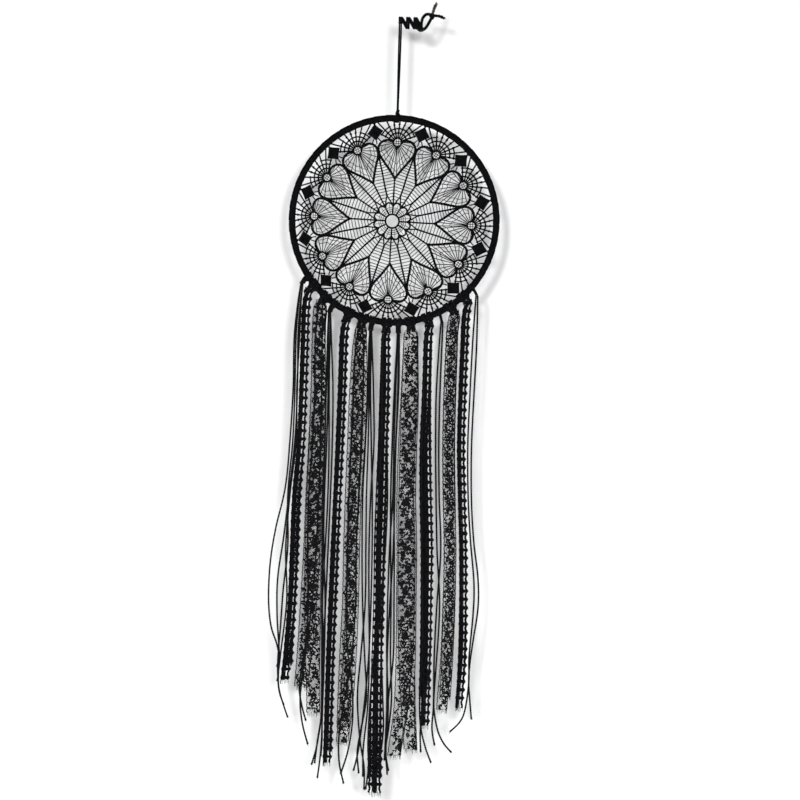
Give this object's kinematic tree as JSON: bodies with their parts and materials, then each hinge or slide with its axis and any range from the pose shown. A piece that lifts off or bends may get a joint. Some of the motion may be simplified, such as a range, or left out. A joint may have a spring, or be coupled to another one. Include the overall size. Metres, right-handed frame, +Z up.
{
  "type": "dream catcher",
  "caption": "Black dream catcher: wrapped hoop with a crocheted doily, hung by a cord tied round a branch, with a long fringe of lace trims and waxed cords.",
  "frame": {"origin": "axis of the branch that the cord's turns grip, in the first turn, where the hanging cord drops from it", "axes": "+Z up, -Y towards the viewer, +X along the branch to the right seen from the front"},
  "size_m": [0.2082, 0.0154, 0.7507],
  "materials": {
    "ring_steel": "drawn wire",
    "wrap_tape": "matte cotton tape",
    "doily_cotton": "matte crocheted cotton",
    "hanging_cord": "waxed cotton cord",
    "crochet_trim": "matte cotton trim",
    "net_lace": "fine net lace",
    "waxed_cord": "waxed cotton cord"
  },
  "bodies": {
    "branch_hanger": {"hanger_coil": "hanging_cord", "hanger_loop": "hanging_cord", "hanger_knot": "hanging_cord", "hanger_tail_a": "hanging_cord", "hanger_tail_b": "hanging_cord"},
    "cord_top": {"hanging_cord_top": "hanging_cord"},
    "hanging_cord": {"hanging_strand_left": "hanging_cord", "hanging_strand_right": "hanging_cord"},
    "hoop": {"ring_knot": "hanging_cord", "hoop_ring": "ring_steel", "hoop_wrap": "wrap_tape", "crochet_doily": "doily_cotton", "lace_loops": "crochet_trim", "cord_loops": "waxed_cord"},
    "tassel_1": {"cord_1_a": "waxed_cord", "cord_1_b": "waxed_cord", "cord_1_c": "waxed_cord", "cord_1_d": "waxed_cord"},
    "tassel_2": {"trim_2_front": "crochet_trim", "trim_2_back": "crochet_trim"},
    "tassel_3": {"lace_3_front": "net_lace", "lace_3_back": "net_lace", "cord_3_a": "waxed_cord", "cord_3_b": "waxed_cord"},
    "tassel_4": {"cord_4_a": "waxed_cord", "cord_4_b": "waxed_cord", "cord_4_c": "waxed_cord", "cord_4_d": "waxed_cord"},
    "tassel_5": {"trim_5_front": "crochet_trim", "trim_5_back": "crochet_trim"},
    "tassel_6": {"lace_6_front": "net_lace", "lace_6_back": "net_lace", "cord_6_a": "waxed_cord", "cord_6_b": "waxed_cord"},
    "tassel_7": {"cord_7_a": "waxed_cord", "cord_7_b": "waxed_cord", "cord_7_c": "waxed_cord", "cord_7_d": "waxed_cord"},
    "tassel_8": {"trim_8_front": "crochet_trim", "trim_8_back": "crochet_trim", "cord_8_a": "waxed_cord", "cord_8_b": "waxed_cord"},
    "tassel_9": {"cord_9_a": "waxed_cord", "cord_9_b": "waxed_cord", "cord_9_c": "waxed_cord", "cord_9_d": "waxed_cord"},
    "tassel_10": {"lace_10_front": "net_lace", "lace_10_back": "net_lace"},
    "tassel_11": {"trim_11_front": "crochet_trim", "trim_11_back": "crochet_trim", "cord_11_a": "waxed_cord", "cord_11_b": "waxed_cord"},
    "tassel_12": {"cord_12_a": "waxed_cord", "cord_12_b": "waxed_cord"},
    "tassel_13": {"lace_13_front": "net_lace", "lace_13_back": "net_lace"},
    "tassel_14": {"trim_14_front": "crochet_trim", "trim_14_back": "crochet_trim"},
    "tassel_15": {"cord_15_a": "waxed_cord", "cord_15_b": "waxed_cord"}
  },
  "joints": [
    {"name": "cord_swing", "type": "hinge", "parent": "branch_hanger", "child": "cord_top", "pos_m": [0, -0.0047, -0.004], "axis": [1, 0, 0], "range_deg": [-30, 30]},
    {"name": "cord_sway", "type": "hinge", "parent": "cord_top", "child": "hanging_cord", "pos_m": [0, -0.0047, -0.012], "axis": [0, 1, 0], "range_deg": [-20, 20]},
    {"name": "hoop_twist", "type": "hinge", "parent": "hanging_cord", "child": "hoop", "pos_m": [0, -0.0047, -0.084], "axis": [0, 0, 1], "range_deg": [-180, 180]},
    {"name": "tassel_1_swing", "type": "hinge", "parent": "hoop", "child": "tassel_1", "pos_m": [-0.08539, -0.0047, -0.24824], "axis": [1, 0, 0], "range_deg": [-30, 30]},
    {"name": "tassel_2_swing", "type": "hinge", "parent": "hoop", "child": "tassel_2", "pos_m": [-0.07887, -0.0047, -0.25656], "axis": [1, 0, 0], "range_deg": [-30, 30]},
    {"name": "tassel_3_swing", "type": "hinge", "parent": "hoop", "child": "tassel_3", "pos_m": [-0.06717, -0.0047, -0.26805], "axis": [1, 0, 0], "range_deg": [-30, 30]},
    {"name": "tassel_4_swing", "type": "hinge", "parent": "hoop", "child": "tassel_4", "pos_m": [-0.05844, -0.0047, -0.27463], "axis": [1, 0, 0], "range_deg": [-30, 30]},
    {"name": "tassel_5_swing", "type": "hinge", "parent": "hoop", "child": "tassel_5", "pos_m": [-0.0425, -0.0047, -0.28347], "axis": [1, 0, 0], "range_deg": [-30, 30]},
    {"name": "tassel_6_swing", "type": "hinge", "parent": "hoop", "child": "tassel_6", "pos_m": [-0.02828, -0.0047, -0.2886], "axis": [1, 0, 0], "range_deg": [-30, 30]},
    {"name": "tassel_7_swing", "type": "hinge", "parent": "hoop", "child": "tassel_7", "pos_m": [-0.01904, -0.0047, -0.29075], "axis": [1, 0, 0], "range_deg": [-30, 30]},
    {"name": "tassel_8_swing", "type": "hinge", "parent": "hoop", "child": "tassel_8", "pos_m": [-0.00419, -0.0047, -0.29242], "axis": [1, 0, 0], "range_deg": [-30, 30]},
    {"name": "tassel_9_swing", "type": "hinge", "parent": "hoop", "child": "tassel_9", "pos_m": [0.00729, -0.0047, -0.29224], "axis": [1, 0, 0], "range_deg": [-30, 30]},
    {"name": "tassel_10_swing", "type": "hinge", "parent": "hoop", "child": "tassel_10", "pos_m": [0.0194, -0.0047, -0.29068], "axis": [1, 0, 0], "range_deg": [-30, 30]},
    {"name": "tassel_11_swing", "type": "hinge", "parent": "hoop", "child": "tassel_11", "pos_m": [0.03677, -0.0047, -0.28582], "axis": [1, 0, 0], "range_deg": [-30, 30]},
    {"name": "tassel_12_swing", "type": "hinge", "parent": "hoop", "child": "tassel_12", "pos_m": [0.04825, -0.0047, -0.28069], "axis": [1, 0, 0], "range_deg": [-30, 30]},
    {"name": "tassel_13_swing", "type": "hinge", "parent": "hoop", "child": "tassel_13", "pos_m": [0.05994, -0.0047, -0.2736], "axis": [1, 0, 0], "range_deg": [-30, 30]},
    {"name": "tassel_14_swing", "type": "hinge", "parent": "hoop", "child": "tassel_14", "pos_m": [0.07259, -0.0047, -0.26317], "axis": [1, 0, 0], "range_deg": [-30, 30]},
    {"name": "tassel_15_swing", "type": "hinge", "parent": "hoop", "child": "tassel_15", "pos_m": [0.08063, -0.0047, -0.25447], "axis": [1, 0, 0], "range_deg": [-30, 30]}
  ]
}
